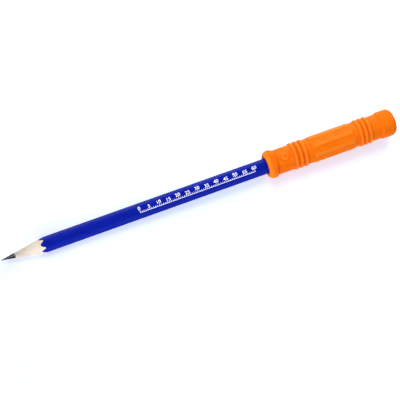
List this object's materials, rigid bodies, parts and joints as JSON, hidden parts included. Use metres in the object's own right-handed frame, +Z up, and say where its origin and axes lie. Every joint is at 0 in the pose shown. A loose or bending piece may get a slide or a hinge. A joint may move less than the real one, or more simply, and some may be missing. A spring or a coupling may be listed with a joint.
{
  "type": "chewable pencil topper",
  "caption": "Sharpened hexagon pencil at rest, with a soft ringed and fluted chew topper over its blunt end that pulls off along the barrel.",
  "frame": {"origin": "on the surface that the pencil lies on, under the middle of its box", "axes": "+X runs along the lying pencil from its point to the topper's cap, +Z is up, and the flat with the printed scale faces up"},
  "size_m": [0.2058, 0.014, 0.0156],
  "materials": {
    "elastomer": "satin",
    "lacquer": "gloss",
    "wood": "matte",
    "graphite": "satin",
    "end_coat": "gloss",
    "foil": "polished"
  },
  "bodies": {
    "pencil": {"lacquer_coat": "lacquer", "upper_wood_half": "wood", "lower_wood_half": "wood", "graphite_core": "graphite", "end_dip": "end_coat", "foil_scale": "foil"},
    "topper": {"topper": "elastomer"}
  },
  "joints": [
    {"name": "topper_slide", "type": "slide", "parent": "pencil", "child": "topper", "axis": [0.9996, 0, 0.0292], "range_m": [0, 0.044]}
  ]
}
